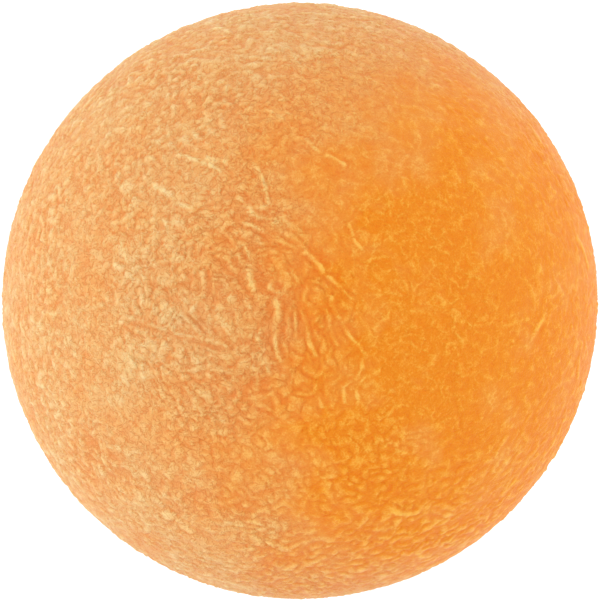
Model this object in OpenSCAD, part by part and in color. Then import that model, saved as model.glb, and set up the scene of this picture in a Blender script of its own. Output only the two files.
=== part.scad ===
// Gel-filled stress ball: two bonded skin halves round a gel bladder, closed by a plug underneath.
// Millimetres, +Z up, origin at the centre of the ball. The ball rests on the flat at its lowest point.

/* [Ball] */
// Outer diameter of the ball
ball_d = 50; // [48:1:70]
// Wall thickness of the two skin halves
wall = 3; // [2.6:0.2:4]
// Diameter of the flat that the ball rests on
rest_d = 11; // [10:0.5:12]

/* [Seam] */
// Height of the lap in which the upper half's tongue sits inside the lower half's rim
lap_h = 2; // [1:0.5:3]
// Thickness of the cement film that fills the lap
film = 0.2; // [0.1:0.05:0.3]
// How far the film stays below the outer surface, so that the textured skin closes over it
film_inset = 0.4; // [0.2:0.1:0.8]

/* [Bladder] */
// Wall thickness of the bladder that holds the gel
bladder_wall = 0.6; // [0.4:0.1:1]
// Clearance between the bladder and the skin
bladder_gap = 0.15; // [0.1:0.05:0.3]
// Outer diameter of the bladder's filling neck
neck_d = 5.6; // [5.2:0.2:5.8]

/* [Closure] */
// Diameter of the port through the lower half
port_d = 7.2; // [7:0.1:7.6]
// Diameter of the plug's head, flush with the rest flat
plug_d = 9; // [8.6:0.2:9.4]
// Thickness of the plug's head
plug_h = 1.2; // [1:0.1:1.4]
// Width of the cement ring between the plug's head and its seat
plug_film = 0.25; // [0.15:0.05:0.3]
// Diameter of the boss that thickens the lower half round the port
boss_d = 16; // [14:1:18]
// Height of the boss above the rest flat
boss_h = 5.4; // [5:0.2:6]

/* [Hidden] */
$fn = 96;

skin_orange = [0.93, 0.50, 0.16];
bladder_amber = [0.96, 0.74, 0.45, 0.6];
gel_orange = [0.98, 0.60, 0.25, 0.8];
cement_honey = [0.85, 0.62, 0.30];
stopper_white = [0.90, 0.88, 0.84];
band_grey = [0.35, 0.34, 0.33];

ball_r = ball_d / 2;
inner_r = ball_r - wall;
lap_r = (ball_r + inner_r) / 2;
rest_z = -sqrt(ball_r * ball_r - rest_d * rest_d / 4);
boss_z = rest_z + boss_h;
seat_z = rest_z + plug_h;

// Bladder form: a sphere inside the skin with a round recess for the boss.
bladder_r = inner_r - bladder_gap;
neck_bore = neck_d - 2 * bladder_wall;

// Stopper: a head below the neck's end, a stem that fills the neck, and a barb inside the bladder.
stopper_head_h = 0.6;
stopper_head_z = seat_z + 0.2;
neck_end_z = stopper_head_z + stopper_head_h;
stem_top_z = boss_z + bladder_gap + bladder_wall;
barb_d = neck_bore + 1.2;
barb_tip_d = neck_bore - 1;
barb_h = 1.4;
barb_gap = 0.2;

// Locating pip on the plug, which sits in a recess in the stopper's head with play all round.
pip_d = 2.4;
pip_top_z = stopper_head_z + 0.25;
pip_play = 0.1;

// Elastic band round the neck, inside the port.
band_z = neck_end_z + 0.7;
band_h = 1.6;
band_w = (port_d - neck_d) / 2 - 0.1;
band_corner = 0.25;

// Distance that a cut runs past the faces it opens.
past = 1;
// Gap that keeps the gel's surface clear of the bladder's.
gel_gap = 0.1;
// Width of the lap's ledge that the film stops short of.
ledge_clear = 0.2;
// How far the plug's cement stays above the rest flat.
cement_recess = 0.2;

// A vertical cylinder between two heights.
module rod(d, z0, z1) {
    translate([0, 0, z0]) cylinder(d = d, h = z1 - z0);
}

// Everything above a height.
module above(z) {
    translate([-ball_d, -ball_d, z]) cube([2 * ball_d, 2 * ball_d, 2 * ball_d]);
}

// The whole skin wall before it is divided: a hollow sphere.
module skin_wall() {
    difference() {
        sphere(r = ball_r);
        sphere(r = inner_r);
    }
}

// Upper half: its outer rim ends a film's thickness above the equator, and its tongue reaches into the lap.
module upper_shell() {
    color(skin_orange)
        intersection() {
            skin_wall();
            union() {
                above(film);
                rod(2 * (lap_r - film), -lap_h, film + past);
            }
        }
}

// Lower half: rim outside the tongue, ledge under it, flat foot, boss and stepped port on the axis.
module lower_shell() {
    color(skin_orange)
        difference() {
            union() {
                intersection() {
                    skin_wall();
                    above(rest_z);
                }
                intersection() {
                    sphere(r = inner_r + wall / 2);
                    rod(boss_d, rest_z, boss_z);
                }
            }
            above(0);
            rod(2 * lap_r, -lap_h - film, past);
            rod(port_d, rest_z - past, boss_z + past);
            rod(plug_d + 2 * plug_film, rest_z - past, seat_z);
        }
}

// Cement film in the lap, a Z-shaped ring: under the upper rim, down the tongue, and along the ledge.
module seam_cement() {
    tongue_r = lap_r - film;
    ledge_r = inner_r + ledge_clear;
    color(cement_honey)
        rotate_extrude()
            polygon([
                [tongue_r, film],
                [tongue_r, -lap_h],
                [ledge_r, -lap_h],
                [ledge_r, -lap_h - film],
                [lap_r, -lap_h - film],
                [lap_r, 0],
                [ball_r - film_inset, 0],
                [ball_r - film_inset, film]
            ]);
}

// The space inside the skin, taken in by some distance and clear of the boss by the same distance.
module bladder_form(inset) {
    difference() {
        sphere(r = bladder_r - inset);
        rod(boss_d + 2 * (bladder_gap + inset), -ball_r, boss_z + bladder_gap + inset);
    }
}

// Bladder: a thin closed bag with a filling neck that passes down through the boss.
module bladder() {
    color(bladder_amber)
        difference() {
            union() {
                difference() {
                    bladder_form(0);
                    bladder_form(bladder_wall);
                }
                rod(neck_d, neck_end_z, boss_z + bladder_gap + bladder_wall / 2);
            }
            rod(neck_bore, neck_end_z - past, stem_top_z + past);
        }
}

// Gel: fills the bladder down to its recess, with a pocket for the stopper's barb.
module gel_core() {
    color(gel_orange)
        difference() {
            bladder_form(bladder_wall + gel_gap);
            rod(barb_d + 2 * barb_gap, boss_z, stem_top_z + barb_h + barb_gap);
        }
}

// Stopper: head, stem and barb in one moulding, with a recess under the head for the plug's pip.
module neck_stopper() {
    color(stopper_white)
        difference() {
            union() {
                rod(neck_d, stopper_head_z, neck_end_z);
                rod(neck_bore, stopper_head_z, stem_top_z);
                translate([0, 0, stem_top_z])
                    cylinder(d1 = barb_d, d2 = barb_tip_d, h = barb_h);
            }
            rod(pip_d + 2 * pip_play, stopper_head_z - past, pip_top_z + pip_play);
        }
}

// Band: an elastic ring with rounded edges that grips the neck onto the stopper.
module neck_band() {
    color(band_grey)
        rotate_extrude()
            translate([neck_d / 2, band_z])
                polygon([
                    [0, 0],
                    [band_w - band_corner, 0],
                    [band_w, band_corner],
                    [band_w, band_h - band_corner],
                    [band_w - band_corner, band_h],
                    [0, band_h]
                ]);
}

// Plug: a disc flush with the rest flat, with a pip that centres it on the stopper.
module port_plug() {
    color(skin_orange)
        union() {
            rod(plug_d, rest_z, seat_z);
            rod(pip_d, seat_z - plug_h / 2, pip_top_z);
        }
}

// Cement ring that bonds the plug's edge to its seat, just short of the rest flat.
module plug_cement() {
    color(cement_honey)
        difference() {
            rod(plug_d + 2 * plug_film, rest_z + cement_recess, seat_z);
            rod(plug_d, rest_z - past, seat_z + past);
        }
}

upper_shell();
lower_shell();
seam_cement();
bladder();
gel_core();
neck_stopper();
neck_band();
port_plug();
plug_cement();
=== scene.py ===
import itertools
import math

import bpy
import numpy as np
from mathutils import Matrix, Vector


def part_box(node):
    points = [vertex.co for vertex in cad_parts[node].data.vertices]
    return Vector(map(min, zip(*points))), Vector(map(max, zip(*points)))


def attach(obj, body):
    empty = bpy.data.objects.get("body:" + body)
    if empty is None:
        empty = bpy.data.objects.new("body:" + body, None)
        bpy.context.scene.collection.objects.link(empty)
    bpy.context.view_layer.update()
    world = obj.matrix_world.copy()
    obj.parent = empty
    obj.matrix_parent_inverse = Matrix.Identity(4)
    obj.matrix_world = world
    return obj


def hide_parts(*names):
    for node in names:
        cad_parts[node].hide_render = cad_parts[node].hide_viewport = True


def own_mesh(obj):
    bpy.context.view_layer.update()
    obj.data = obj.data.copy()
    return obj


# A gel-filled stress ball. Modelled in millimetres round the ball's centre, then written in metres.

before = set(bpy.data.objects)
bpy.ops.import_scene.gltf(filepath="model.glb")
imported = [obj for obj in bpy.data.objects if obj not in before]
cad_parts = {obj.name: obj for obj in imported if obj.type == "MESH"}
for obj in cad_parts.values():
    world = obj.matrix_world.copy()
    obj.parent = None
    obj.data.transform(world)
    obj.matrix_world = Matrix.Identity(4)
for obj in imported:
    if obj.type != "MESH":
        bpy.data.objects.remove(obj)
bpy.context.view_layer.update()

MM = 0.001


def box_mm(node):
    """A node's lowest and highest corners, in millimetres."""
    low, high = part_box(node)
    return np.array(low) / MM, np.array(high) / MM


# ---- Sizes in millimetres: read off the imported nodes, or the CAD's own where a box can't show them ----

shell_low, shell_high = box_mm("upper_shell")
lower_low = box_mm("lower_shell")[0]
film_low, film_high = box_mm("seam_cement")
bag_low, bag_high = box_mm("bladder")
gel_high = box_mm("gel_core")[1]
stopper_low, stopper_high = box_mm("neck_stopper")
band_low, band_high = box_mm("neck_band")
plug_high = box_mm("port_plug")[1]
bond_low, bond_high = box_mm("plug_cement")

BALL_R = shell_high[2]
WALL = 3.0
INNER_R = BALL_R - WALL
REST_Z = lower_low[2]
TONGUE_Z = shell_low[2]
FILM_R = film_high[0]
FILM_Z = film_high[2]
LEDGE_Z = film_low[2]
LAP_R = (BALL_R + INNER_R) / 2
TONGUE_R = LAP_R - FILM_Z
LEDGE_CLEAR = 0.2
LEDGE_R = INNER_R + LEDGE_CLEAR
SEAT_R = bond_high[0]
SEAT_Z = bond_high[2]
BOND_Z = bond_low[2]
PORT_R = 3.6
BOSS_R = 8.0
BOSS_H = 5.4
BOSS_Z = REST_Z + BOSS_H
BAG_R = bag_high[2]
BAG_WALL = 0.6
BAG_GAP = 0.15
GEL_R = gel_high[2]
GEL_GAP = 0.1
NECK_Z = bag_low[2]
NECK_R = stopper_high[0]
NECK_BORE_R = NECK_R - BAG_WALL
STEM_TOP_Z = BOSS_Z + BAG_GAP + BAG_WALL
BARB_TAPER = 0.5
BARB_TIP_R = NECK_BORE_R - BARB_TAPER
BARB_PLAY = 0.2
PLUG_R = plug_high[0]
PIP_R = 1.2
PIP_PLAY = 0.1


# ---- Noise ----

# The lattice hash: a prime for each axis, a step for each seed, a mixing factor, the 32 bits that are kept,
# and two shifts.
AXIS_PRIMES = np.array((73856093, 19349663, 83492791), np.uint64)
SEED_STEP = np.uint64(2654435761)
MIXER = np.uint64(2246822519)
LOW_BITS = np.uint64(0xFFFFFFFF)
SHIFTS = np.uint64(15), np.uint64(13)

GRADIENTS = np.array(
    [g for g in itertools.product((-1, 0, 1), repeat=3) if sum(abs(c) for c in g) == 2],
    float,
)


def hashed(cell, seed):
    """A repeatable whole number for each lattice cell."""
    x, y, z = (cell[:, k].astype(np.uint64) * AXIS_PRIMES[k] for k in range(3))
    h = ((x ^ y ^ z) + np.uint64(seed) * SEED_STEP) & LOW_BITS
    h = ((h ^ (h >> SHIFTS[0])) * MIXER) & LOW_BITS
    return h ^ (h >> SHIFTS[1])


def noise(points, seed):
    """Smooth gradient noise from about -1 to 1, with features about one unit apart."""
    cell = np.floor(points).astype(np.int64)
    inside = points - cell
    ease = inside**3 * (inside * (inside * 6 - 15) + 10)
    total = np.zeros(len(points))
    for corner in itertools.product((0, 1), repeat=3):
        pick = hashed(cell + corner, seed) % np.uint64(len(GRADIENTS))
        slope = (GRADIENTS[pick.astype(int)] * (inside - corner)).sum(axis=1)
        weight = np.prod(np.where(corner, ease, 1 - ease), axis=1)
        total += weight * slope
    return total


def layer(points, size_and_seed):
    """A noise layer at points in millimetres, for the size of its features and its seed."""
    size, seed = size_and_seed
    return noise(points / size, seed)


def smooth(low, high, x):
    """0 below low, 1 above high, with an S-curve between."""
    t = np.clip((x - low) / (high - low), 0, 1)
    return t * t * (3 - 2 * t)


# ---- Relief of the skin ----

# Where elongated bumps curl round a spot: (x, y, z) towards it, outer reach in mm, strength, seed.
# The first is on the crown, near the middle as seen from above.
WHORLS = [
    ((-5.5, -1.5, 24), 13.0, 0.8, 11),
    ((20, 12, 4), 9.0, 0.6, 12),
    ((-8, -22, 6), 10.0, 0.6, 13),
    ((-20, 10, -10), 9.0, 0.5, 14),
    ((10, -14, -18), 10.0, 0.6, 15),
    ((4, 23, -5), 8.0, 0.5, 16),
]

# Creases on the crown, in millimetres and seen from above, with +X to the right and +Y up: start x, y,
# end x, y, half width, bow to one side, and share of the full height, which is below 0 for a groove.
CROWN_CREASES = [
    # In the first whorl and to its right: stout bumps that mostly run downwards.
    (-2.0, 0.5, -2.2, -2.5, 0.32, 0.3, 1.3),
    (-2.0, -2.2, -1.4, -5.0, 0.22, -0.2, 1.2),
    (-1.8, 1.9, -1.4, 0.7, 0.24, -0.8, 1.2),
    (-4.2, 2.4, -3.6, 0.6, 0.36, 0.0, 1.4),
    (-5.8, 3.4, -4.8, 2.1, 0.22, -0.1, 1.0),
    (-4.5, 4.5, -4.0, 3.5, 0.24, 0.0, 0.9),
    (-3.2, 3.5, -2.8, 2.4, 0.26, 0.0, 0.9),
    (-4.4, 0.2, -3.9, -0.7, 0.30, 0.0, 1.0),
    (-5.7, 0.7, -5.4, -0.5, 0.34, 0.1, 1.0),
    (-6.7, -0.9, -5.9, -2.1, 0.36, 0.0, 0.9),
    (-7.9, 2.5, -7.8, 0.2, 0.30, 0.1, 1.1),
    (-7.8, 0.0, -7.2, -1.7, 0.22, 0.1, 1.0),
    (-3.5, -2.7, -3.0, -4.0, 0.32, 0.0, 1.0),
    (-0.4, -0.6, -0.3, -3.3, 0.16, 0.0, 0.9),
    (0.0, -0.6, 0.7, -3.9, 0.18, 0.2, 1.0),
    (0.5, -4.0, 0.9, -5.1, 0.16, 0.0, 0.8),
    (0.8, -3.2, 1.3, -4.6, 0.24, 0.0, 0.9),
    (2.0, -0.5, 2.4, -2.2, 0.20, 0.1, 1.0),
    (2.4, -2.1, 3.2, -3.8, 0.18, -0.1, 0.7),
    (0.7, 1.2, 0.3, -0.1, 0.22, -0.1, 0.9),
    # Further right: long thin creases that fan out.
    (0.2, 4.1, 1.9, 2.4, 0.22, 0.1, 1.2),
    (1.5, 2.9, 2.0, 2.3, 0.30, 0.0, 1.0),
    (2.1, 2.1, 3.3, 1.0, 0.18, 0.0, 1.0),
    (3.3, 1.0, 4.2, 0.1, 0.14, 0.0, 0.7),
    (2.5, 0.6, 3.3, -1.6, 0.18, -0.2, 1.1),
    (3.4, -1.6, 4.7, -3.5, 0.17, -0.2, 1.0),
    (4.6, -3.3, 5.1, -4.2, 0.14, 0.0, 0.7),
    (5.0, -4.5, 4.3, -6.5, 0.15, 0.2, 0.8),
    (4.3, -6.3, 3.5, -6.9, 0.14, 0.0, 0.7),
    (3.4, -6.8, 3.6, -8.3, 0.18, 0.0, 0.8),
    (4.4, -6.9, 4.6, -8.8, 0.16, 0.1, 0.7),
    (1.4, -7.4, 1.8, -8.7, 0.22, 0.0, 0.8),
    (3.8, 6.3, 4.2, 5.1, 0.16, 0.1, 0.9),
    (4.2, 5.1, 5.1, 4.1, 0.16, -0.1, 1.0),
    (5.2, 3.1, 7.4, 3.5, 0.13, 0.2, 0.6),
    # Above the whorl: creases that slope down to the right.
    (-10.2, 11.8, -8.0, 11.2, 0.18, 0.1, 1.1),
    (-8.1, 11.2, -6.1, 10.2, 0.18, 0.1, 1.2),
    (-7.7, 11.6, -6.6, 11.2, 0.28, 0.0, 0.9),
    (-6.3, 11.3, -5.2, 10.8, 0.22, 0.0, 0.9),
    (-12.1, 9.4, -10.1, 8.3, 0.26, 0.1, 1.2),
    (-9.9, 8.0, -8.7, 7.5, 0.22, -0.1, 1.0),
    (-3.6, 11.0, -2.5, 7.5, 0.18, 0.2, 1.1),
    (-5.3, 8.4, -3.9, 7.3, 0.24, 0.1, 1.0),
    (-4.0, 7.2, -2.5, 6.6, 0.22, -0.1, 1.1),
    (-5.1, 6.4, -1.8, 4.9, 0.20, 0.2, 1.0),
    (-1.8, 4.9, -0.2, 4.2, 0.16, 0.0, 0.8),
    (0.4, 13.2, 1.8, 11.8, 0.16, -0.1, 0.9),
    (1.8, 11.8, 3.8, 10.7, 0.18, 0.2, 1.0),
    (-9.2, 14.2, -8.0, 12.9, 0.18, 0.0, 0.9),
    (-3.2, 15.6, -0.8, 13.9, 0.14, 0.3, 0.7),
    # To the left: curls, and the long fold that runs in towards the middle.
    (-12.4, 6.1, -10.6, 6.0, 0.22, 0.6, 0.9),
    (-11.6, 8.0, -11.8, 6.6, 0.30, 0.0, 0.6),
    (-14.6, 4.2, -13.9, 3.5, 0.34, 0.0, 0.9),
    (-15.2, 3.0, -14.3, 2.6, 0.30, 0.0, 0.9),
    (-14.5, -1.2, -10.5, -2.6, 0.18, 0.2, 0.8),
    (-10.6, -2.6, -5.5, -3.7, 0.18, 0.2, 0.7),
    (-14.2, -1.7, -9.0, -3.2, 0.10, 0.2, -0.5),
    (-9.2, -3.2, -6.0, -4.0, 0.10, 0.1, -0.4),
    (-9.7, -1.0, -7.9, -2.8, 0.16, 0.1, 0.8),
    (-9.2, -1.0, -7.2, -3.0, 0.12, 0.1, -0.8),
    (-8.2, -1.4, -6.4, -2.9, 0.12, 0.1, -0.7),
    # Below the whorl: short stout bumps.
    (-3.3, -6.0, -3.6, -7.3, 0.30, 0.0, 0.9),
    (-2.7, -5.1, -2.3, -6.1, 0.22, 0.0, 0.9),
    (-4.8, -6.5, -5.2, -8.1, 0.28, 0.1, 0.8),
    (-2.1, -7.4, -1.7, -8.6, 0.26, 0.0, 0.8),
    (-6.6, -6.9, -6.2, -8.5, 0.28, 0.1, 0.7),
]

# Creases scattered over the rest of the ball: how many, the height in mm that they stay below, the random
# seed, and the ranges of length, bow and half width in mm and of the share of the full height.
SCATTERED_CREASES = 90
SCATTER_TOP = 18
SCATTER_SEED = 7
SCATTER_LENGTH, SCATTER_BOW, SCATTER_HALF_WIDTH = (1.5, 4.5), (-0.5, 0.5), (0.15, 0.26)
SCATTER_SHARE = (0.35, 0.9)

# The whorls' bumps: width across the whorl in mm; radius of the circle they follow through the noise, at
# the whorl's middle and more for each mm from there; size of the wander that bends them, and what is added
# to the whorl's seed for it; and the noise value from which a bump has its full height.
BUMP_WIDTH = 0.62
BUMPS_ROUND, BUMPS_GAIN = 1.0, 0.6
WANDER_SIZE, WANDER_SEED = 1.6, 50
BUMP_FULL = 0.34
# The bumps begin between these distances from the whorl's middle, and end from this share of its reach.
WHORL_EYE = (0.5, 3.0)
WHORL_EDGE = 0.55

# A crease: points along it; depth and width of the hollow round it, and width of the strip where it thins
# the grain, as shares of its own; the share of its length over which each end fades; and how far past its
# ends it is worked out, in mm.
PATH_POINTS = 13
HOLLOW_DEPTH, HOLLOW_WIDTH = 0.3, 2.2
CALM_WIDTH = 2.6
END_FADE = 0.15
CREASE_MARGIN = 1.5
# How creases vary along their way: (feature size in mm, seed) and how much, for the shift in mm, the height
# and the width.
SHIFT_LAYER, SHIFT = (0.9, 31), 0.06
RISE_LAYER, RISE_MEAN, RISE_SWING = (0.8, 32), 0.9, 1.1
PINCH_LAYER, PINCH = (0.55, 33), 0.7

# The side with the smoothest grain, and the cosines of the angle from it where the grain starts to be
# smoothed and where it is smoothest.
SMOOTH_SIDE = (0.72, 0.2, 0.66)
SMOOTHING = (0.4, 0.95)
# The angles from the crown, in degrees, over which the grain and the mesh get coarser.
CROWN_EDGE = (28, 46)

# The grain's noise layers: (size of the features in mm, seed).
DRIFT_LAYERS = ((1.4, 1), (1.4, 2), (1.4, 3))
WORM_LAYER = (0.8, 4)
SPECK_LAYER = (0.42, 5)
RIDGE_LAYER = (1.2, 6)
NET_PLACE_LAYER = (4.0, 7)
SWELL_LAYER = (3.2, 8)
PATCH_LAYER = (5.0, 9)
NET_LAYER = (1.9, 10)
# How far the drift bends the other layers, in mm, and how much the patches vary.
DRIFT = 0.5
PATCH_SWING = 0.6
# Noise values: where a cell's side ends on the crown and how much later elsewhere; half widths of the thin
# lines; and where the net of lines fades in.
CELL_SIDE, CELL_SIDE_GAIN = 0.2, 0.15
RIDGE_WIDTH, NET_WIDTH = 0.14, 0.08
NET_PLACE = (-0.1, 0.3)
# Average of each layer, which is taken off it, and its height in mm.
CELL_MEAN, CELL_HEIGHT = 0.6, 0.06
WORM_MEAN, WORM_HEIGHT = 0.2, 0.14
RIDGE_MEAN, RIDGE_HEIGHT = 0.2, 0.06
SPECK_MEAN, SPECK_HEIGHT = 0.2, 0.08
BUMP_MEAN, BUMP_HEIGHT = 0.4, 0.18
NET_HEIGHT = 0.05
SWELL_HEIGHT = 0.03
CREASE_HEIGHT = 0.19
# How far the skin's level lies under the ball's sphere before the layers are added, in mm.
SINK = 0.16
# How much of the grain is left: at a crease, in a whorl, on the smoothest side, on the crown and more
# elsewhere; and how much of the ridges is lost where the grain is full.
LOST_AT_CREASE, LOST_IN_WHORL = 0.5, 0.45
SMOOTHEST = 0.25
ON_CROWN, RIM_GAIN = 0.85, 0.25
RIDGES_LOST = 0.7
# The painted relief shade, from 0 for painted shade in the pits to 1 for painted highlights on the
# ridges: its middle, and what a mm of grain, a bump less its average, and a crease add.
SHADE_MIDDLE = 0.42
GRAIN_SHADE = 3.2
BUMP_SHADE_MEAN, BUMP_SHADE = 0.6, 0.42
CREASE_SHADE = 0.68


def unit(v):
    """Vectors scaled to length 1."""
    v = np.asarray(v, float)
    return v / np.linalg.norm(v, axis=-1, keepdims=True)


def across_and_along(direction):
    """Two unit vectors square to a direction and to each other."""
    near_pole = 0.9
    helper = (0, 0, 1) if abs(direction[2]) < near_pole else (0, 1, 0)
    side = unit(np.cross(direction, helper))
    return side, np.cross(direction, side)


def whorl_bumps(points, spot):
    """Height of the elongated bumps that run round a spot, and how far each point is inside the whorl."""
    towards, reach, strength, seed = spot
    towards = unit(towards)
    side, along = across_and_along(towards)
    q = unit(points)
    from_spot = BALL_R * np.arccos(np.clip(q @ towards, -1, 1))
    near = np.flatnonzero(from_spot < reach)
    bumps = np.zeros(len(points))
    inside = np.zeros(len(points))
    q = q[near]
    away = from_spot[near]
    turn = np.arctan2(q @ along, q @ side)
    wander = layer(points[near], (WANDER_SIZE, seed + WANDER_SEED))
    round_it = BUMPS_ROUND + BUMPS_GAIN * away
    across = (away + wander) / BUMP_WIDTH
    ring = np.stack([np.cos(turn) * round_it, np.sin(turn) * round_it, across], axis=1)
    shape = smooth(0.0, BUMP_FULL, np.abs(noise(ring, seed)))
    mask = smooth(*WHORL_EYE, away) * (1 - smooth(reach * WHORL_EDGE, reach, away))
    bumps[near] = strength * shape * mask
    inside[near] = strength * mask
    return bumps, inside


def crease_path(start, end, bow):
    """Points along a crease on the ball, bowed sideways by so many millimetres at its middle."""
    t = np.linspace(0, 1, PATH_POINTS)[:, None]
    start, end = np.asarray(start, float), np.asarray(end, float)
    run = end - start
    middle = unit(start + end)
    sideways = unit(np.cross(middle, run))
    path = start + run * t + sideways * bow * 4 * t * (1 - t)
    return unit(path) * BALL_R


def on_crown(x, y):
    """The point of the upper half that is straight above x, y."""
    return np.array([x, y, math.sqrt(BALL_R**2 - x * x - y * y)])


def all_creases():
    """(path, half width, height share) of each crease: the crown's, then those scattered over the rest."""
    made = [
        (crease_path(on_crown(x0, y0), on_crown(x1, y1), bow), half_width, share)
        for x0, y0, x1, y1, half_width, bow, share in CROWN_CREASES
    ]
    draw = np.random.default_rng(SCATTER_SEED)
    while len(made) < len(CROWN_CREASES) + SCATTERED_CREASES:
        middle = unit(draw.normal(size=3)) * BALL_R
        side, along = across_and_along(unit(middle))
        angle, length = draw.uniform(0, math.pi), draw.uniform(*SCATTER_LENGTH)
        bow, share = draw.uniform(*SCATTER_BOW), draw.uniform(*SCATTER_SHARE)
        half_width = draw.uniform(*SCATTER_HALF_WIDTH)
        run = (math.cos(angle) * side + math.sin(angle) * along) * length / 2
        if middle[2] < SCATTER_TOP:
            made.append((crease_path(middle - run, middle + run, bow), half_width, share))
    return made


def crease_relief(points):
    """Height of all the creases, as a share of the full one, and how far each point is taken up by one."""
    shift = SHIFT * layer(points, SHIFT_LAYER)
    uneven = RISE_MEAN + RISE_SWING * layer(points, RISE_LAYER)
    narrow = 1 + PINCH * layer(points, PINCH_LAYER)
    total = np.zeros(len(points))
    taken = np.zeros(len(points))
    for path, half_width, share in all_creases():
        middle = path[len(path) // 2]
        reach = np.linalg.norm(path[0] - path[-1]) / 2 + CREASE_MARGIN
        near = np.flatnonzero(((points - middle) ** 2).sum(axis=1) < reach**2)
        if not len(near):
            continue
        nearby = points[near]
        nearest = np.full(len(near), np.inf)
        place = np.zeros(len(near))
        steps = len(path) - 1
        for k in range(steps):
            step = path[k + 1] - path[k]
            t = np.clip((nearby - path[k]) @ step / (step @ step), 0, 1)
            away = np.linalg.norm(nearby - path[k] - t[:, None] * step, axis=1)
            closer = away < nearest
            nearest[closer] = away[closer]
            place[closer] = (k + t[closer]) / steps
        away = np.abs(nearest + shift[near]) * narrow[near]
        fade = smooth(0, END_FADE, place) * (1 - smooth(1 - END_FADE, 1, place))
        hollow = HOLLOW_DEPTH * np.exp(-((away / (HOLLOW_WIDTH * half_width)) ** 2))
        ridge = np.exp(-((away / half_width) ** 2)) - hollow
        total[near] += share * ridge * fade * uneven[near]
        strip = np.exp(-((away / (CALM_WIDTH * half_width)) ** 4))
        taken[near] = np.maximum(taken[near], fade * strip)
    return total, taken


def thin_lines(value, half_width):
    """1 where a noise value crosses zero, falling to 0 at the half width either side."""
    return np.clip(1 - np.abs(value) / half_width, 0, 1)


def roughness_at(points):
    """0 on the side with the smoothest grain, 1 on the side that keeps all of it."""
    return 1 - smooth(*SMOOTHING, unit(points) @ unit(SMOOTH_SIDE))


def relief(points):
    """Height of the skin over the ball's sphere, in millimetres, and its painted shade and highlight from 0
    to 1.
    """
    drift = np.stack([layer(points, drift_layer) for drift_layer in DRIFT_LAYERS], axis=1)
    warped = points + DRIFT * drift
    rough = roughness_at(points)
    from_crown = np.degrees(np.arccos(np.clip(points[:, 2] / BALL_R, -1, 1)))
    coarse = smooth(*CROWN_EDGE, from_crown)
    worms = np.abs(layer(warped, WORM_LAYER))
    cells = smooth(0, CELL_SIDE + CELL_SIDE_GAIN * coarse, worms)
    specks = np.abs(layer(warped, SPECK_LAYER))
    ridges = thin_lines(layer(warped, RIDGE_LAYER), RIDGE_WIDTH)
    net = thin_lines(layer(warped, NET_LAYER), NET_WIDTH) * smooth(*NET_PLACE, layer(points, NET_PLACE_LAYER))
    swell = layer(points, SWELL_LAYER)
    patch = 1.0 + PATCH_SWING * layer(points, PATCH_LAYER)
    whorls = [whorl_bumps(points, w) for w in WHORLS]
    bumps = sum(w[0] for w in whorls)
    inside = np.clip(sum(w[1] for w in whorls), 0, 1)
    creases, taken = crease_relief(points)
    calm = (1 - LOST_AT_CREASE * taken) * (1 - LOST_IN_WHORL * inside)
    furrows = (cells - CELL_MEAN) * CELL_HEIGHT + (worms - WORM_MEAN) * WORM_HEIGHT
    furrows = furrows * (SMOOTHEST + (1 - SMOOTHEST) * rough) * (ON_CROWN + RIM_GAIN * coarse)
    lines = (ridges - RIDGE_MEAN) * RIDGE_HEIGHT * (1 - RIDGES_LOST * rough) + NET_HEIGHT * net
    grain = (furrows * patch + lines + (specks - SPECK_MEAN) * SPECK_HEIGHT) * calm
    bumps = bumps * (1 - taken)
    height = -SINK + grain + SWELL_HEIGHT * swell
    height += BUMP_HEIGHT * (bumps - BUMP_MEAN * inside)
    height += CREASE_HEIGHT * creases
    # Painted shade and highlights: darker colour in the pits, paler on the grain's ridges, the bumps and the
    # creases.
    relief_shade = SHADE_MIDDLE + GRAIN_SHADE * grain
    relief_shade += BUMP_SHADE * (bumps - BUMP_SHADE_MEAN * inside)
    relief_shade += CREASE_SHADE * creases
    return height, np.clip(relief_shade, 0, 1)


# ---- Ring meshes ----


# Vertices round the plain rings of the skin.
SEGMENTS = 180
# Below this radius in millimetres, a ring is one point on the axis.
ON_AXIS = 0.01
# More than any share of a turn, for a ring whose steps are all used.
USED_UP = 9.0


class Ring:
    """A level circle of vertices: its radius, height and count, and whether it is sharp or outer skin."""

    def __init__(self, r, z, count, sharp=False, skin=False):
        self.r, self.z, self.count, self.sharp, self.skin = r, z, count, sharp, skin
        self.turn = 0.0


def stitched(rings, closed):
    """Rings joined by triangles: vertices, triangles, each vertex's ring, and whether it is outer skin."""
    verts, first, ring_of = [], [], []
    for i, ring in enumerate(rings):
        first.append(sum(r.count for r in rings[:i]))
        angle = (np.arange(ring.count) + ring.turn) * 2 * math.pi / ring.count
        x, y = ring.r * np.cos(angle), ring.r * np.sin(angle)
        verts.append(np.stack([x, y, np.full(ring.count, ring.z)], axis=1))
        ring_of.append(np.full(ring.count, i))
    tris = []
    pairs = [(i, i + 1) for i in range(len(rings) - 1)]
    if closed:
        pairs.append((len(rings) - 1, 0))
    for a, b in pairs:
        count_a, count_b = rings[a].count, rings[b].count
        steps_a = count_a if count_a > 1 else 0
        steps_b = count_b if count_b > 1 else 0
        i = j = 0
        while i < steps_a or j < steps_b:
            next_a = (i + 1 + rings[a].turn) / count_a if i < steps_a else USED_UP
            next_b = (j + 1 + rings[b].turn) / count_b if j < steps_b else USED_UP
            here_a = first[a] + i % count_a
            here_b = first[b] + j % count_b
            if next_a <= next_b:
                tris.append((here_a, first[a] + (i + 1) % count_a, here_b))
                i += 1
            else:
                tris.append((here_a, first[b] + (j + 1) % count_b, here_b))
                j += 1
    skin = np.concatenate([np.full(r.count, r.skin) for r in rings])
    return np.concatenate(verts), np.array(tris), np.concatenate(ring_of), skin


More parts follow.
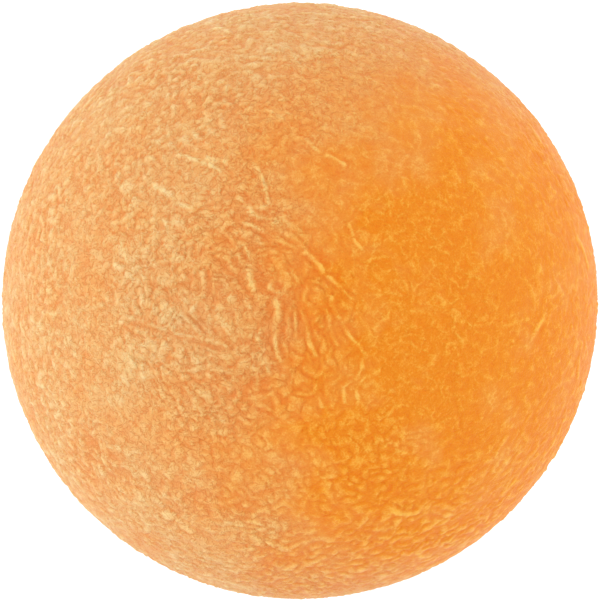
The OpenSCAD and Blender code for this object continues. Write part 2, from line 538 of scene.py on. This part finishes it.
def mesh_object(name, verts_mm, tris, sharp_of, attributes):
    """A smooth-shaded mesh object in metres; an edge is sharp if it runs along one sharp ring."""
    mesh = bpy.data.meshes.new(name)
    mesh.from_pydata((verts_mm * MM).tolist(), [], tris.tolist())
    mesh.polygons.foreach_set("use_smooth", np.ones(len(mesh.polygons), bool))
    pairs = np.empty(len(mesh.edges) * 2, int)
    mesh.edges.foreach_get("vertices", pairs)
    a, b = sharp_of[pairs.reshape(-1, 2)].T
    mark = mesh.attributes.new("sharp_edge", "BOOLEAN", "EDGE")
    mark.data.foreach_set("value", (a >= 0) & (a == b))
    for key, kind, field, values in attributes:
        attribute = mesh.attributes.new(key, kind, "POINT")
        attribute.data.foreach_set(field, values.astype(np.float32).ravel())
    mesh.update()
    obj = bpy.data.objects.new(name, mesh)
    bpy.context.scene.collection.objects.link(obj)
    return obj


def face_outward(verts, tris):
    """Turns the winding round if the closed mesh is inside out."""
    a, b, c = (verts[tris[:, k]] for k in range(3))
    return tris if np.einsum("ij,ij->", a, np.cross(b, c)) > 0 else tris[:, ::-1]


# Spacing of the skin's vertices in millimetres, on the crown and elsewhere; the spacing of their rows as a
# share of it, as in equal-sided triangles; and the fewest vertices in a ring outside and inside.
FINE_STEP, COARSE_STEP = 0.15, 0.262
ROW_SHARE = 0.87
FEWEST_OUTSIDE, FEWEST_INSIDE = 6, 8


def step_at(from_crown):
    """Spacing of the skin's vertices at an angle from the crown."""
    share = float(smooth(*CROWN_EDGE, math.degrees(from_crown)))
    return FINE_STEP + (COARSE_STEP - FINE_STEP) * share


def skin_rings(start, end):
    """Rings on the ball's outer sphere between two angles from the crown."""
    angles = [start]
    while angles[-1] < end:
        angles.append(angles[-1] + step_at(angles[-1]) * ROW_SHARE / BALL_R)
    scale = (end - start) / (angles[-1] - start)
    rings = []
    for k, angle in enumerate(angles):
        angle = start + (angle - start) * scale
        r = BALL_R * math.sin(angle)
        count = max(FEWEST_OUTSIDE, round(2 * math.pi * r / step_at(angle))) if r >= ON_AXIS else 1
        ring = Ring(max(r, 0.0), BALL_R * math.cos(angle), count, skin=True)
        ring.turn = 0.5 * (k % 2) if count > 1 else 0.0
        rings.append(ring)
    return rings


def arc_rings(radius, start, end, steps):
    """Rings on an inner sphere between two angles from the crown."""
    rings = []
    for k in range(steps + 1):
        angle = start + (end - start) * k / steps
        r = radius * math.sin(angle)
        if r < ON_AXIS:
            rings.append(Ring(0.0, radius * math.cos(angle), 1))
        else:
            around = max(FEWEST_INSIDE, round(SEGMENTS * r / radius))
            rings.append(Ring(r, radius * math.cos(angle), around))
    return rings


def path_rings(points, sharp=True):
    """Rings through plain profile points."""
    return [Ring(r, z, SEGMENTS, sharp=sharp) for r, z in points]


EQUATOR = math.pi / 2
# Steps of the arcs inside the upper and the lower half.
UPPER_STEPS, LOWER_STEPS = 34, 30
# Round the plug, on the rest flat: radii of the outer rings and their vertices, then the rounded lip.
MOUTH_RADII, MOUTH_COUNT = (5.3, 5.1, 4.95), 150
LIP_R, LIP_TOP, LIP_END = 4.82, 0.03, 0.12
# The relief fades towards the rest flat over these heights above it, and towards the plug's seat over
# these distances from it, in millimetres. On the flat, this share of it is gone.
FLAT_BLEND = (0.02, 0.5)
SEAT_BLEND = (0.1, 1.2)
GONE_ON_FLAT = 0.8


def set_equator(ring):
    """Makes a ring the same for both halves, so that they meet."""
    ring.turn = 0.0
    ring.count = round(2 * math.pi * BALL_R / COARSE_STEP)
    ring.sharp = True


def upper_profile():
    """Rings of the upper half: the outer skin, the rim and tongue, and the inside."""
    outer = skin_rings(0.0, EQUATOR)
    set_equator(outer[-1])
    lap = path_rings(
        [
            (FILM_R, 0.0),
            (FILM_R, FILM_Z),
            (TONGUE_R, FILM_Z),
            (TONGUE_R, TONGUE_Z),
            (math.sqrt(INNER_R**2 - TONGUE_Z**2), TONGUE_Z),
        ]
    )
    inner = arc_rings(INNER_R, math.acos(TONGUE_Z / INNER_R), 0.0, UPPER_STEPS)[1:]
    return outer + lap + inner, False


def lower_profile():
    """Rings of the lower half: the outer skin and flat, the seat, port and boss, the inside, and the rim."""
    flat_angle = math.acos(REST_Z / BALL_R)
    outer = skin_rings(EQUATOR, flat_angle)
    set_equator(outer[0])
    flat = [Ring(r, REST_Z, MOUTH_COUNT, skin=True) for r in MOUTH_RADII]
    lip = path_rings([(LIP_R, REST_Z + LIP_TOP)], sharp=False)
    port = path_rings(
        [
            (SEAT_R, REST_Z + LIP_END),
            (SEAT_R, SEAT_Z),
            (PORT_R, SEAT_Z),
            (PORT_R, BOSS_Z),
            (BOSS_R, BOSS_Z),
            (BOSS_R, -math.sqrt(INNER_R**2 - BOSS_R**2)),
        ]
    )
    boss_angle = math.pi - math.asin(BOSS_R / INNER_R)
    inner = arc_rings(INNER_R, boss_angle, math.acos(LEDGE_Z / INNER_R), LOWER_STEPS)[1:]
    inner[-1].sharp = True
    lap = path_rings([(LAP_R, LEDGE_Z), (LAP_R, 0.0)])
    return outer + flat + lip + port + inner + lap, True


def skin_half(name, profile):
    """One half of the skin as a closed shell with its relief in the mesh."""
    rings, closed = profile
    verts, tris, ring_of, skin = stitched(rings, closed)
    outer = verts[skin]
    height, outer_shade = relief(outer)
    on_flat = 1 - smooth(REST_Z + FLAT_BLEND[0], REST_Z + FLAT_BLEND[1], outer[:, 2])
    down = np.array([0.0, 0.0, -1.0])
    normal = unit(outer)
    normal = unit(normal + (down - normal) * on_flat[:, None])
    from_axis = np.hypot(outer[:, 0], outer[:, 1])
    mouth = smooth(SEAT_R + SEAT_BLEND[0], SEAT_R + SEAT_BLEND[1], from_axis)
    height = height * (1 - on_flat * GONE_ON_FLAT) * np.where(outer[:, 2] < 0, mouth, 1)
    moved = verts.copy()
    moved[skin] += normal * height[:, None]
    # The painted shade and highlights of the relief, kept on the outer skin for its colour.
    relief_shade = np.zeros(len(verts))
    relief_shade[skin] = outer_shade
    tris = face_outward(moved, tris)
    sharp_rings = np.array([i if r.sharp else -1 for i, r in enumerate(rings)])
    attributes = [("rest_mm", "FLOAT_VECTOR", "vector", verts), ("relief_shade", "FLOAT", "value", relief_shade)]
    return mesh_object(name, moved, tris, sharp_rings[ring_of], attributes)


# ---- Turned pieces: each is a profile of (radius, height, corner size), turned about the axis ----

# Steps of a rounded corner and of an arc on a sphere, and how far in radians such an arc stops short of an
# edge that is to be rounded.
FILLET_STEPS = 4
ARC_STEPS = 60
EDGE_ROOM = 0.03


def fillet(before, corner, after, size):
    """An arc that rounds a corner of a profile, tangent to both of its sides."""
    a, b = unit(before - corner), unit(after - corner)
    half = math.acos(np.clip(a @ b, -1, 1)) / 2
    centre = corner + unit(a + b) * size / math.sin(half)
    start = corner + a * size / math.tan(half) - centre
    end = corner + b * size / math.tan(half) - centre
    sweep = math.pi - 2 * half
    arc = []
    for k in range(FILLET_STEPS + 1):
        t = k / FILLET_STEPS
        spoke = (start * math.sin((1 - t) * sweep) + end * math.sin(t * sweep)) / math.sin(sweep)
        arc.append((*(centre + spoke), k in (0, FILLET_STEPS)))
    return arc


def rounded(corners, closed):
    """Profile points (radius, height, whether sharp) with each sized corner rounded."""
    points = []
    for k, (radius, height, size) in enumerate(corners):
        if size:
            before = np.array(corners[k - 1][:2])
            after = np.array(corners[(k + 1) % len(corners)][:2])
            points += fillet(before, np.array((radius, height)), after, size)
        else:
            points.append((radius, height, False))
    return points, closed


def sphere_arc(radius, start, end):
    """Profile points on a sphere between two angles from the crown."""
    angles = np.linspace(start, end, ARC_STEPS + 1)
    return [(radius * math.sin(a), radius * math.cos(a), 0) for a in angles]


def recess_angle(radius, recess):
    """The angle from the crown at which a sphere meets the wall of its recess underneath."""
    return math.pi - math.asin(recess / radius)


def seam_profile():
    """The cement in the lap: under the upper rim, down the tongue and along the ledge."""
    corners = [
        (TONGUE_R, FILM_Z, 0.05),
        (TONGUE_R, TONGUE_Z, 0.05),
        (LEDGE_R, TONGUE_Z, 0.08),
        (LEDGE_R, LEDGE_Z, 0.08),
        (LAP_R, LEDGE_Z, 0.05),
        (LAP_R, 0.0, 0.05),
        (FILM_R, 0.0, 0.05),
        (FILM_R, FILM_Z, 0.05),
    ]
    return rounded(corners, True)


def bag_profile():
    """A thin round bag, pushed in underneath round its filling neck."""
    out_r, in_r = BOSS_R + BAG_GAP, BOSS_R + BAG_GAP + BAG_WALL
    inner = BAG_R - BAG_WALL
    out_edge, in_edge = recess_angle(BAG_R, out_r), recess_angle(inner, in_r)
    corners = sphere_arc(BAG_R, 0.0, out_edge - EDGE_ROOM)
    corners += [
        (out_r, BAG_R * math.cos(out_edge), 0.3),
        (out_r, BOSS_Z + BAG_GAP, 0.5),
        (NECK_R, BOSS_Z + BAG_GAP, 0.4),
        (NECK_R, NECK_Z, 0.2),
        (NECK_BORE_R, NECK_Z, 0.15),
        (NECK_BORE_R, STEM_TOP_Z, 0.2),
        (in_r, STEM_TOP_Z, 0.4),
        (in_r, inner * math.cos(in_edge), 0.3),
    ]
    corners += sphere_arc(inner, in_edge - EDGE_ROOM, 0.0)
    return rounded(corners, False)


def gel_profile():
    """The gel that fills the bag, with a pocket for the stopper's barb."""
    recess = BOSS_R + BAG_GAP + BAG_WALL + GEL_GAP
    edge = recess_angle(GEL_R, recess)
    pocket_z = stopper_high[2] + BARB_PLAY
    corners = sphere_arc(GEL_R, 0.0, edge - EDGE_ROOM)
    corners += [
        (recess, GEL_R * math.cos(edge), 0.3),
        (recess, STEM_TOP_Z + GEL_GAP, 0.4),
        (NECK_R + BARB_PLAY, STEM_TOP_Z + GEL_GAP, 0.3),
        (NECK_R + BARB_PLAY, pocket_z, 0.3),
        (0.0, pocket_z, 0),
    ]
    return rounded(corners, False)


def stopper_profile():
    """Head, stem and barb, with a recess under the head for the plug's pip."""
    recess_r, recess_z = PIP_R + PIP_PLAY, plug_high[2] + PIP_PLAY
    corners = [
        (0.0, recess_z, 0),
        (recess_r, recess_z, 0.1),
        (recess_r, stopper_low[2], 0.1),
        (NECK_R, stopper_low[2], 0.18),
        (NECK_R, NECK_Z, 0.12),
        (NECK_BORE_R, NECK_Z, 0.08),
        (NECK_BORE_R, STEM_TOP_Z, 0.08),
        (NECK_R, STEM_TOP_Z, 0.1),
        (BARB_TIP_R, stopper_high[2], 0.3),
        (0.0, stopper_high[2], 0),
    ]
    return rounded(corners, False)


def band_profile():
    """An elastic band in three turns, each a rounded strand."""
    turns, steps = 3, 8
    depth, fullness = 0.25, 0.98
    strand = (band_high[2] - band_low[2]) / turns
    points = [(NECK_R, band_high[2] - strand / 4, True), (NECK_R, band_low[2] + strand / 4, True)]
    for turn in range(turns):
        middle = band_low[2] + (turn + 0.5) * strand
        for k in range(steps + 1):
            bend = math.pi * (k / steps - 0.5)
            radius = band_high[0] - depth * (1 - math.cos(bend))
            points.append((radius, middle + strand / 2 * fullness * math.sin(bend), False))
    return points, True


def plug_profile():
    """A disc flush with the rest flat, with a moulding dimple under it and a pip on top."""
    dimple_r, dimple_h, dimple_slope = 0.7, 0.12, 0.1
    margin, step = 0.3, 0.15
    corners = [
        (0.0, REST_Z + dimple_h, 0),
        (dimple_r, REST_Z + dimple_h, 0.08),
        (dimple_r + dimple_slope, REST_Z, 0.06),
    ]
    corners += [(r, REST_Z, 0) for r in np.arange(dimple_r + margin, PLUG_R - margin, step)]
    corners += [
        (PLUG_R, REST_Z, 0.15),
        (PLUG_R, SEAT_Z, 0.1),
        (PIP_R, SEAT_Z, 0.08),
        (PIP_R, plug_high[2], 0.1),
        (0.0, plug_high[2], 0),
    ]
    return rounded(corners, False)


def bond_profile():
    """The ring of cement round the plug, with a hollow meniscus underneath."""
    steps, rise = 6, 0.06
    points = [(SEAT_R, SEAT_Z, True), (SEAT_R, BOND_Z, True)]
    for k in range(1, steps):
        t = k / steps
        points.append((SEAT_R + (PLUG_R - SEAT_R) * t, BOND_Z + rise * math.sin(math.pi * t), False))
    points += [(PLUG_R, BOND_Z, True), (PLUG_R, SEAT_Z, True)]
    return points, True


UNEVEN_SEED = 41


def turned(name, profile, unevenness, grain_size, count=120):
    """A mesh turned from a profile, with a little unevenness that only takes material away."""
    points, closed = profile
    rings = [Ring(r, z, count if r > ON_AXIS else 1, sharp=s) for r, z, s in points]
    verts, tris, ring_of, _ = stitched(rings, closed)
    lower, upper = verts.min(axis=0), verts.max(axis=0)
    from_axis = np.hypot(verts[:, 0], verts[:, 1])
    dip = unevenness * (0.5 + 0.5 * layer(verts, (grain_size, UNEVEN_SEED)))
    moved = verts * (1 - dip / np.maximum(np.linalg.norm(verts, axis=1), 1))[:, None]
    moved[from_axis < ON_AXIS, :2] = 0
    moved = np.clip(moved, lower, upper)
    tris = face_outward(moved, tris)
    sharp_rings = np.array([i if r.sharp else -1 for i, r in enumerate(rings)])
    attributes = [("rest_mm", "FLOAT_VECTOR", "vector", verts)]
    return mesh_object(name, moved, tris, sharp_rings[ring_of], attributes)


# ---- Materials ----


def new_material(name):
    """A new material, its node tree and its shader."""
    material = bpy.data.materials.new(name)
    material.use_nodes = True
    tree = material.node_tree
    return material, tree, tree.nodes["Principled BSDF"]


def node(tree, kind, **settings):
    """A new node, with its inputs and properties set by name."""
    made = tree.nodes.new(kind)
    for key, value in settings.items():
        if key in made.inputs:
            made.inputs[key].default_value = value
        else:
            setattr(made, key, value)
    return made


def mapped(tree, source, low, high, to_low, to_high):
    """A value taken from one range to another and kept inside it."""
    made = node(tree, "ShaderNodeMapRange")
    for name, value in (("From Min", low), ("From Max", high), ("To Min", to_low), ("To Max", to_high)):
        made.inputs[name].default_value = value
    tree.links.new(source, made.inputs["Value"])
    return made.outputs["Result"]


# Nearly all the values of a noise texture lie between these.
NOISE_LOW, NOISE_HIGH = 0.3, 0.7


def swung(tree, texture, low, high):
    """A noise texture's value, taken to a range."""
    return mapped(tree, texture.outputs["Fac"], NOISE_LOW, NOISE_HIGH, low, high)


def textured(tree, rest, kind, **settings):
    """A texture that keeps its place on the piece, in millimetres."""
    made = node(tree, kind, **settings)
    tree.links.new(rest.outputs["Vector"], made.inputs["Vector"])
    return made


def distance_towards(tree, rest, direction):
    """How far each point lies in a direction from the ball's centre, in millimetres."""
    made = node(tree, "ShaderNodeVectorMath", operation="DOT_PRODUCT")
    tree.links.new(rest.outputs["Vector"], made.inputs[0])
    made.inputs[1].default_value = direction
    return made.outputs["Value"]


def product_of(tree, first, second):
    """Two values multiplied."""
    made = node(tree, "ShaderNodeMath", operation="MULTIPLY")
    tree.links.new(first, made.inputs[0])
    tree.links.new(second, made.inputs[1])
    return made.outputs[0]


def sum_of(tree, *sources):
    """Several values added together."""
    total = sources[0]
    for source in sources[1:]:
        add = node(tree, "ShaderNodeMath", operation="ADD")
        tree.links.new(total, add.inputs[0])
        tree.links.new(source, add.inputs[1])
        total = add.outputs[0]
    return total


def colour_ramp(tree, source, stops):
    """A colour for a value: stops are (place, colour)."""
    ramp = node(tree, "ShaderNodeValToRGB")
    elements = ramp.color_ramp.elements
    while len(elements) < len(stops):
        elements.new(0.5)
    for element, (place, colour) in zip(elements, stops):
        element.position = place
        element.color = (*colour, 1)
    tree.links.new(source, ramp.inputs["Fac"])
    return ramp.outputs["Color"]


# The skin's colours, from painted shade in the pits to painted highlights on the ridges: plain, and under
# painted light on the window side.
PLAIN_STOPS = [(0.0, (0.79, 0.17, 0.003)), (0.5, (0.83, 0.262, 0.010)), (1.0, (0.92, 0.47, 0.065))]
PAINTED_LIGHT_STOPS = [(0.0, (0.76, 0.30, 0.085)), (0.5, (0.79, 0.44, 0.165)), (1.0, (0.85, 0.62, 0.30))]
# The side furthest from the painted light: the painted light falls between these shares of the radius towards
# it.
PLAIN_SIDE = (0.75, -0.18, 0.64)
PLAIN_FROM, PLAIN_TO = 0.12, 0.79
LIGHT_FAR, LIGHT_NEAR = 0.90, -0.02
# A spot on the crown, beside the plain side, with a painted highlight that is paler than its surroundings.
HIGHLIGHT_SPOT = (-0.3, -0.12, 0.95)
SPOT_FROM, SPOT_HIGHLIGHT = 0.95, 0.32
# The painted light is weaker on the underside, between these shares of the radius in height.
UNDER_FROM, UNDER_TO, UNDER_LIGHT = -0.6, 0.1, -0.4
# How much clouds change the painted light and the tone, and how much specks change the tone and the bump.
CLOUD_LIGHT, CLOUD_TONE = 0.17, 0.04
SPECK_TONE, SPECK_BUMP = 0.16, 0.5
# Textures of the skin: features per millimetre.
CLOUD_SCALE, WRINKLE_SCALE, SPECK_SCALE = 0.22, 2.1, 6.5
# Fine wrinkles: half width in noise values, and what they add to the tone: a painted highlight where
# there is no painted light, and painted shade in their grooves from the painted light's middle on.
WRINKLE_WIDTH = 0.09
WRINKLE_PLAIN, WRINKLE_LIT, LIGHT_MIDDLE = 0.14, -0.42, 0.5
# The range that the painted shade in the pits and painted highlights on the ridges are spread over.
SHADE_LOW, SHADE_HIGH = -0.05, 1.15
ROUGH_PITS, ROUGH_RIDGES = 0.46, 0.36
SKIN_BUMP_MM = 0.08


def skin_material():
    """Translucent orange rubber, with painted shade in the pits and painted highlights on the ridges and
    window side.
    """
    material, tree, shader = new_material("orange_skin")
    link = tree.links.new
    rest = node(tree, "ShaderNodeAttribute", attribute_name="rest_mm")
    relief_shade = node(tree, "ShaderNodeAttribute", attribute_name="relief_shade")
    height = node(tree, "ShaderNodeSeparateXYZ")
    link(rest.outputs["Vector"], height.inputs["Vector"])
    to_plain = distance_towards(tree, rest, PLAIN_SIDE)
    to_highlight = distance_towards(tree, rest, HIGHLIGHT_SPOT)
    cloud = textured(tree, rest, "ShaderNodeTexNoise", Scale=CLOUD_SCALE, Detail=3.0, Roughness=0.55)
    # Painted light: paler colour towards the window side and on a painted highlight spot by the crown, weaker
    # underneath, broken up by clouds.
    painted_light = sum_of(
        tree,
        mapped(tree, to_plain, PLAIN_FROM * BALL_R, PLAIN_TO * BALL_R, LIGHT_FAR, LIGHT_NEAR),
        mapped(tree, to_highlight, SPOT_FROM * BALL_R, BALL_R, 0.0, SPOT_HIGHLIGHT),
        swung(tree, cloud, -CLOUD_LIGHT, CLOUD_LIGHT),
        mapped(tree, height.outputs["Z"], UNDER_FROM * BALL_R, UNDER_TO * BALL_R, UNDER_LIGHT, 0.0),
    )
    wrinkles = textured(
        tree, rest, "ShaderNodeTexNoise", Scale=WRINKLE_SCALE, Detail=1.5, Roughness=0.6, Distortion=0.5
    )
    signed = mapped(tree, wrinkles.outputs["Fac"], 0.0, 1.0, -1.0, 1.0)
    size = node(tree, "ShaderNodeMath", operation="ABSOLUTE")
    link(signed, size.inputs[0])
    line = mapped(tree, size.outputs[0], 0.0, WRINKLE_WIDTH, 1.0, 0.0)
    # The wrinkles add painted highlights where there is no painted light and painted shade in their grooves
    # under it.
    wrinkle = product_of(tree, line, mapped(tree, painted_light, 0.0, LIGHT_MIDDLE, WRINKLE_PLAIN, WRINKLE_LIT))
    specks = textured(tree, rest, "ShaderNodeTexNoise", Scale=SPECK_SCALE, Detail=2.0, Roughness=0.6)
    # Painted shade in the pits and painted highlights on the ridges, from the relief shade and the wrinkles,
    # with random specks and clouds.
    shade = sum_of(
        tree,
        mapped(tree, relief_shade.outputs["Fac"], 0.0, 1.0, SHADE_LOW, SHADE_HIGH),
        wrinkle,
        swung(tree, specks, -SPECK_TONE, SPECK_TONE),
        swung(tree, cloud, -CLOUD_TONE, CLOUD_TONE),
    )
    mix = node(tree, "ShaderNodeMix", data_type="RGBA")
    link(painted_light, mix.inputs["Factor"])
    link(colour_ramp(tree, shade, PLAIN_STOPS), mix.inputs["A"])
    link(colour_ramp(tree, shade, PAINTED_LIGHT_STOPS), mix.inputs["B"])
    link(mix.outputs["Result"], shader.inputs["Base Color"])
    bump = node(tree, "ShaderNodeBump", Strength=1.0, Distance=SKIN_BUMP_MM * MM)
    link(sum_of(tree, wrinkle, swung(tree, specks, 0.0, SPECK_BUMP)), bump.inputs["Height"])
    link(bump.outputs["Normal"], shader.inputs["Normal"])
    rough = mapped(tree, relief_shade.outputs["Fac"], 0.0, 1.0, ROUGH_PITS, ROUGH_RIDGES)
    link(rough, shader.inputs["Roughness"])
    shader.inputs["IOR"].default_value = 1.35
    shader.inputs["Specular IOR Level"].default_value = 0.2
    shader.inputs["Subsurface Weight"].default_value = 0.12
    shader.inputs["Subsurface Radius"].default_value = (1.0, 0.35, 0.12)
    shader.inputs["Subsurface Scale"].default_value = 0.0006
    return material


# Moulded surfaces: textures' features per grain, distances from a spot's middle over which it fades, the
# tone from clouds, how much the fine grain changes it, and how it changes the roughness.
CLOUDS_PER_GRAIN, FINE_PER_GRAIN, SPOTS_PER_GRAIN = 0.5, 3, 1.2
SPOT_SOLID, SPOT_GONE = 0.08, 0.22
CLOUD_LOW, CLOUD_HIGH, FINE_TONE = 0.1, 0.8, 0.15
ROUGHER, SMOOTHER = 0.08, 0.05


def moulded(name, colours, grain, rough, bump_mm, bubbles=0.0, coat=0.0):
    """A moulded or cast surface: clouded colour, fine grain in millimetres, and bubbles or dust if any."""
    material, tree, shader = new_material(name)
    link = tree.links.new
    rest = node(tree, "ShaderNodeAttribute", attribute_name="rest_mm")
    cloud = textured(
        tree, rest, "ShaderNodeTexNoise", Scale=CLOUDS_PER_GRAIN / grain, Detail=3.0, Roughness=0.6
    )
    fine = textured(tree, rest, "ShaderNodeTexNoise", Scale=FINE_PER_GRAIN / grain, Detail=2.0, Roughness=0.5)
    spots = textured(tree, rest, "ShaderNodeTexVoronoi", Scale=SPOTS_PER_GRAIN / grain)
    spot = mapped(tree, spots.outputs["Distance"], SPOT_SOLID, SPOT_GONE, bubbles, 0.0)
    clouded = swung(tree, cloud, CLOUD_LOW, CLOUD_HIGH)
    shade = sum_of(tree, clouded, swung(tree, fine, -FINE_TONE, FINE_TONE), spot)
    stops = [(k / (len(colours) - 1), colour) for k, colour in enumerate(colours)]
    link(colour_ramp(tree, shade, stops), shader.inputs["Base Color"])
    link(swung(tree, fine, rough + ROUGHER, rough - SMOOTHER), shader.inputs["Roughness"])
    bump = node(tree, "ShaderNodeBump", Strength=0.8, Distance=bump_mm * MM)
    link(sum_of(tree, fine.outputs["Fac"], spot), bump.inputs["Height"])
    link(bump.outputs["Normal"], shader.inputs["Normal"])
    shader.inputs["Coat Weight"].default_value = coat
    shader.inputs["Coat Roughness"].default_value = 0.1
    return material


def cement_material():
    honey = [(0.50, 0.24, 0.06), (0.64, 0.34, 0.09), (0.78, 0.48, 0.17)]
    return moulded("honey_cement", honey, grain=0.8, rough=0.22, bump_mm=0.03, bubbles=0.35, coat=0.4)


def bag_material():
    amber = [(0.72, 0.40, 0.14), (0.84, 0.52, 0.22), (0.92, 0.68, 0.38)]
    return moulded("amber_latex", amber, grain=1.6, rough=0.40, bump_mm=0.03)


def gel_material():
    orange = [(0.72, 0.15, 0.01), (0.86, 0.26, 0.02), (0.94, 0.42, 0.07)]
    return moulded("orange_gel", orange, grain=2.4, rough=0.12, bump_mm=0.02, bubbles=0.3, coat=0.6)


def stopper_material():
    white = [(0.66, 0.63, 0.56), (0.76, 0.73, 0.66), (0.84, 0.82, 0.77)]
    return moulded("white_nylon", white, grain=0.7, rough=0.42, bump_mm=0.02)


def band_material():
    grey = [(0.06, 0.06, 0.06), (0.10, 0.10, 0.095), (0.20, 0.19, 0.18)]
    return moulded("dusted_black_rubber", grey, grain=0.5, rough=0.62, bump_mm=0.04, bubbles=0.25)


def plug_material():
    orange = [(0.78, 0.18, 0.004), (0.86, 0.28, 0.015), (0.92, 0.42, 0.07)]
    return moulded("orange_plug", orange, grain=0.6, rough=0.44, bump_mm=0.04)


# ---- Pieces ----


def take_place(piece, node_name, body, material):
    """A piece that rides a body and stands for a CAD node."""
    piece.data.materials.append(material)
    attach(piece, body)
    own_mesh(piece)
    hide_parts(node_name)


cement = cement_material()
skin = skin_material()

gel = turned("gel_filling", gel_profile(), unevenness=0.12, grain_size=4.0)
bag = turned("gel_bag", bag_profile(), unevenness=0.05, grain_size=3.0)

crown = skin_half("crown_skin", upper_profile())
take_place(crown, "upper_shell", "crown", skin)

base = skin_half("base_skin", lower_profile())
take_place(base, "lower_shell", "base", skin)

film = turned("seam_film", seam_profile(), unevenness=0.02, grain_size=1.0, count=360)
take_place(film, "seam_cement", "base", cement)

take_place(bag, "bladder", "base", bag_material())

take_place(gel, "gel_core", "base", gel_material())

stopper = turned("bag_stopper", stopper_profile(), unevenness=0.01, grain_size=1.0)
take_place(stopper, "neck_stopper", "base", stopper_material())

band = turned("neck_ring", band_profile(), unevenness=0.02, grain_size=0.6)
take_place(band, "neck_band", "base", band_material())

plug = turned("flush_plug", plug_profile(), unevenness=0.03, grain_size=0.5)
take_place(plug, "port_plug", "base", plug_material())

bond = turned("plug_bond", bond_profile(), unevenness=0.01, grain_size=0.8)
take_place(bond, "plug_cement", "base", cement)


# ---- Stage ----

# The ball's radius and the floor's height, in metres.
BALL_M = BALL_R * MM
FLOOR_Z = REST_Z * MM


def make_floor():
    """A pale table, 4 m across, that glows so that it stays white round the ball."""
    half = 2.0
    mesh = bpy.data.meshes.new("floor")
    mesh.from_pydata(
        [(-half, -half, FLOOR_Z), (half, -half, FLOOR_Z), (half, half, FLOOR_Z), (-half, half, FLOOR_Z)],
        [],
        [(0, 1, 2, 3)],
    )
    floor = bpy.data.objects.new("floor", mesh)
    bpy.context.scene.collection.objects.link(floor)
    material, _, shader = new_material("light_table")
    shader.inputs["Base Color"].default_value = (0.45, 0.45, 0.45, 1)
    shader.inputs["Roughness"].default_value = 0.9
    shader.inputs["Specular IOR Level"].default_value = 0.1
    shader.inputs["Emission Color"].default_value = (1, 1, 1, 1)
    shader.inputs["Emission Strength"].default_value = 0.8
    mesh.materials.append(material)


def soft_light(name, place, size, radiance):
    """A white panel that faces the ball. Place and size are in metres."""
    data = bpy.data.lights.new(name, "AREA")
    data.shape = "RECTANGLE"
    data.size, data.size_y = size
    data.energy = radiance * math.pi * size[0] * size[1]
    light = bpy.data.objects.new(name, data)
    light.location = place
    light.rotation_euler = (-Vector(place)).to_track_quat("-Z", "Y").to_euler()
    light.visible_camera = False
    bpy.context.scene.collection.objects.link(light)


def make_world():
    """Surroundings that are white at the sides and below, and greyer overhead."""
    white, overhead, strength = 1.0, 0.66, 1.21
    world = bpy.data.worlds.new("studio")
    bpy.context.scene.world = world
    world.use_nodes = True
    tree = world.node_tree
    background = tree.nodes["Background"]
    where = tree.nodes.new("ShaderNodeTexCoord")
    split = tree.nodes.new("ShaderNodeSeparateXYZ")
    ramp = tree.nodes.new("ShaderNodeValToRGB")
    tree.links.new(where.outputs["Generated"], split.inputs[0])
    tree.links.new(split.outputs["Z"], ramp.inputs["Fac"])
    tree.links.new(ramp.outputs["Color"], background.inputs["Color"])
    ramp.color_ramp.elements[0].color = (white, white, white, 1)
    ramp.color_ramp.elements[1].color = (overhead, overhead, overhead, 1)
    background.inputs["Strength"].default_value = strength


def make_camera():
    """A camera straight above the crown; the ball fills nearly all of the picture's width."""
    distance = 0.5
    fill = 0.994
    data = bpy.data.cameras.new("camera")
    camera = bpy.data.objects.new("camera", data)
    bpy.context.scene.collection.objects.link(camera)
    camera.location = (0, 0, distance)
    edge = math.tan(math.asin(BALL_M / distance)) / fill
    data.sensor_width = 36
    data.lens = data.sensor_width / 2 / edge
    data.clip_start, data.clip_end = 0.01, 10
    bpy.context.scene.camera = camera


make_floor()
make_world()
soft_light("window", place=(-0.42, 0.0, 0.2), size=(0.3, 0.8), radiance=1.3)
soft_light("fill", place=(0.38, 0.05, 0.25), size=(0.4, 0.5), radiance=0.6)
make_camera()

view = bpy.context.scene.view_settings
view.view_transform = "Standard"
view.look = "None"
